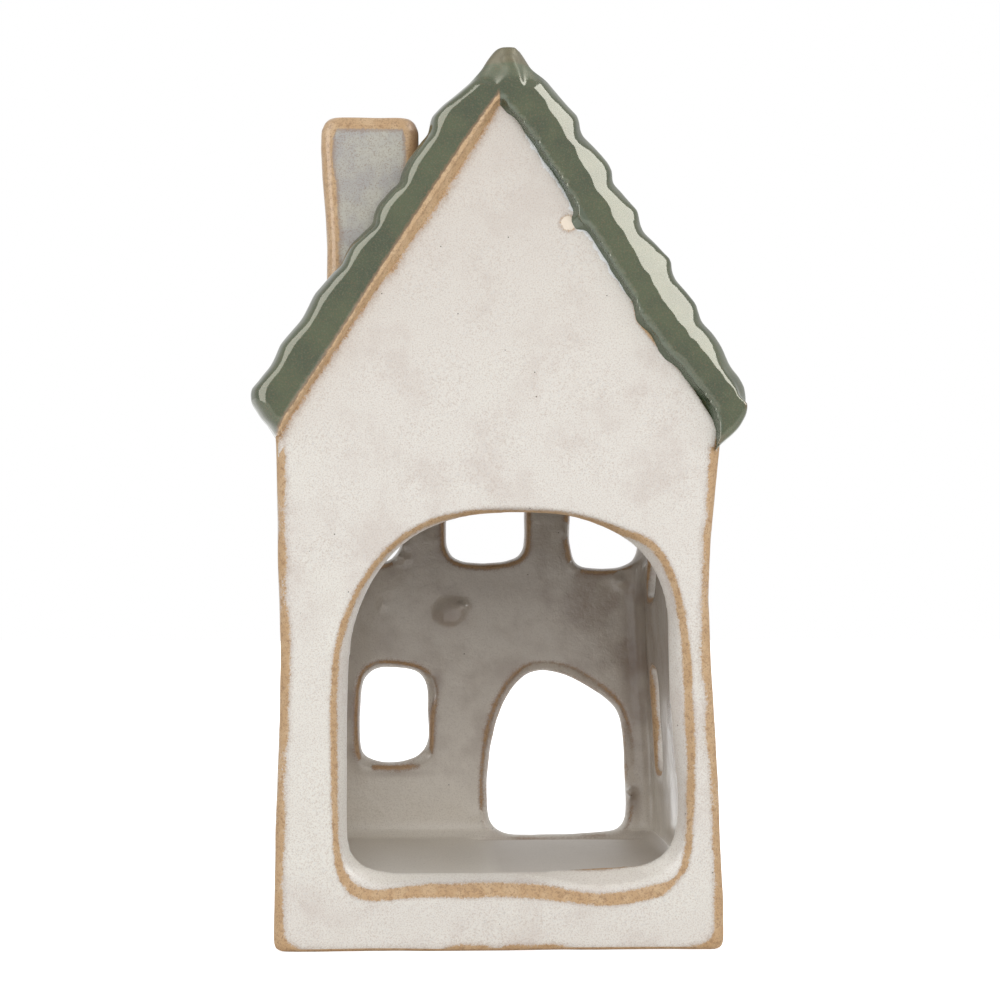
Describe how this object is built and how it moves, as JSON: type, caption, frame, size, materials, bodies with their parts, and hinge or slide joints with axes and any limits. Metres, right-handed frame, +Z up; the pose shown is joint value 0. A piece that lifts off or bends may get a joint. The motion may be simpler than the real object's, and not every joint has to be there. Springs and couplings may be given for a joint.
{
  "type": "tealight house",
  "caption": "Stoneware house for a tealight, with an open arch at the back, cut-out door and windows, a glazed roof with lapped courses and a short chimney.",
  "frame": {"origin": "centre of the base, on the surface that the house stands on", "axes": "+Z up, -Y out of the candle arch, +Y out of the door, +X to the right seen from the arch"},
  "size_m": [0.0992, 0.09, 0.1792],
  "materials": {
    "body_glaze": "off-white satin glaze, bare tan stoneware at the edges",
    "roof_glaze": "glossy dark green glaze",
    "chimney_glaze": "grey-white glaze, bare tan stoneware at the edges"
  },
  "bodies": {
    "root": {"candle_arch_wall": "body_glaze", "door_wall": "body_glaze", "left_side_wall": "body_glaze", "right_side_wall": "body_glaze", "floor_slab": "body_glaze", "left_roof_slab": "roof_glaze", "right_roof_slab": "roof_glaze", "ridge_roll": "roof_glaze", "chimney": "chimney_glaze"}
  },
  "joints": []
}
